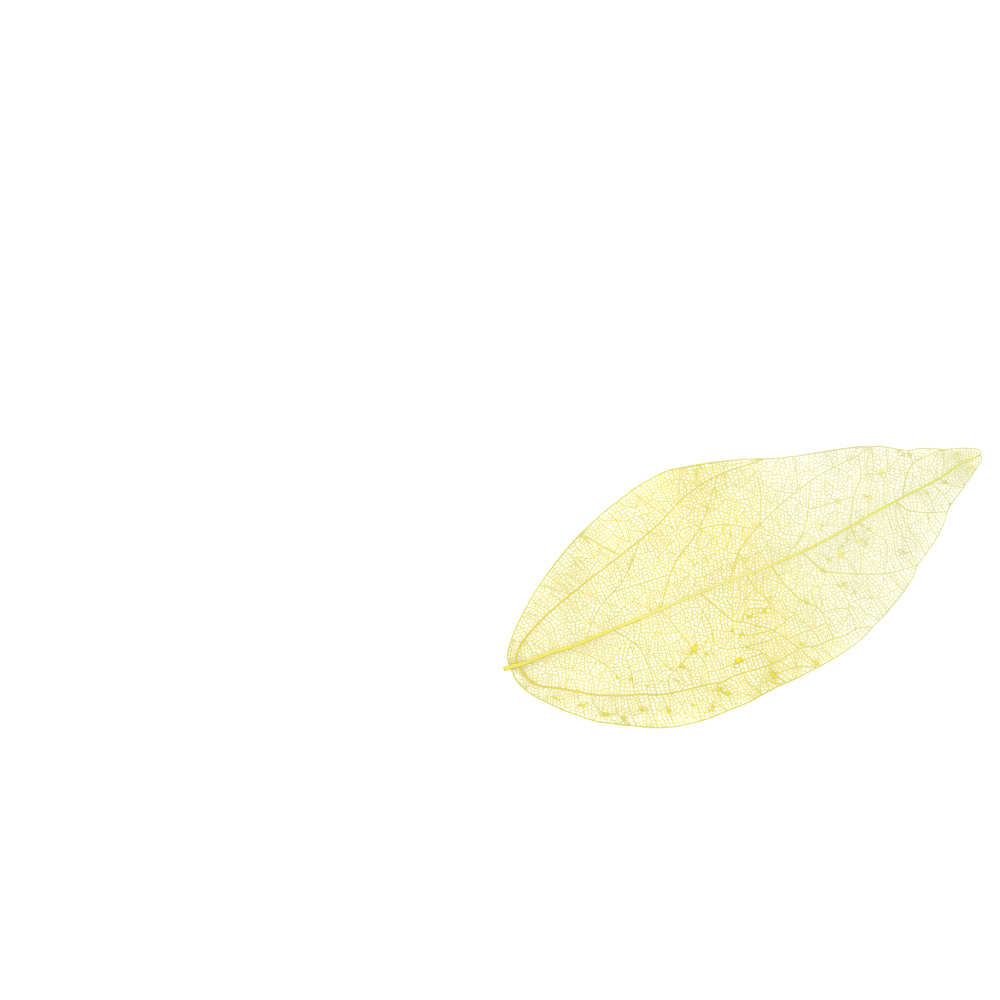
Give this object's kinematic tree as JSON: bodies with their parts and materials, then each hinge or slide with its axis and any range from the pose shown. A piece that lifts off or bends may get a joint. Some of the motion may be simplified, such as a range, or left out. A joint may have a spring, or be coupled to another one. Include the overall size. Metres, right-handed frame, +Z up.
{
  "type": "skeleton leaf",
  "caption": "Dyed skeleton leaf: the midrib, side veins, margin vein and open net of one broad pointed leaf, lying flat.",
  "frame": {"origin": "centre of the footprint, on the surface that the leaf lies on", "axes": "+X from leaf base to tip, +Y to the leaf's left side, +Z up through the thickness"},
  "size_m": [0.087, 0.041, 0.0045],
  "materials": {
    "dyed_fibre": "matte"
  },
  "bodies": {
    "root": {"skeleton_leaf": "dyed_fibre"}
  },
  "joints": []
}
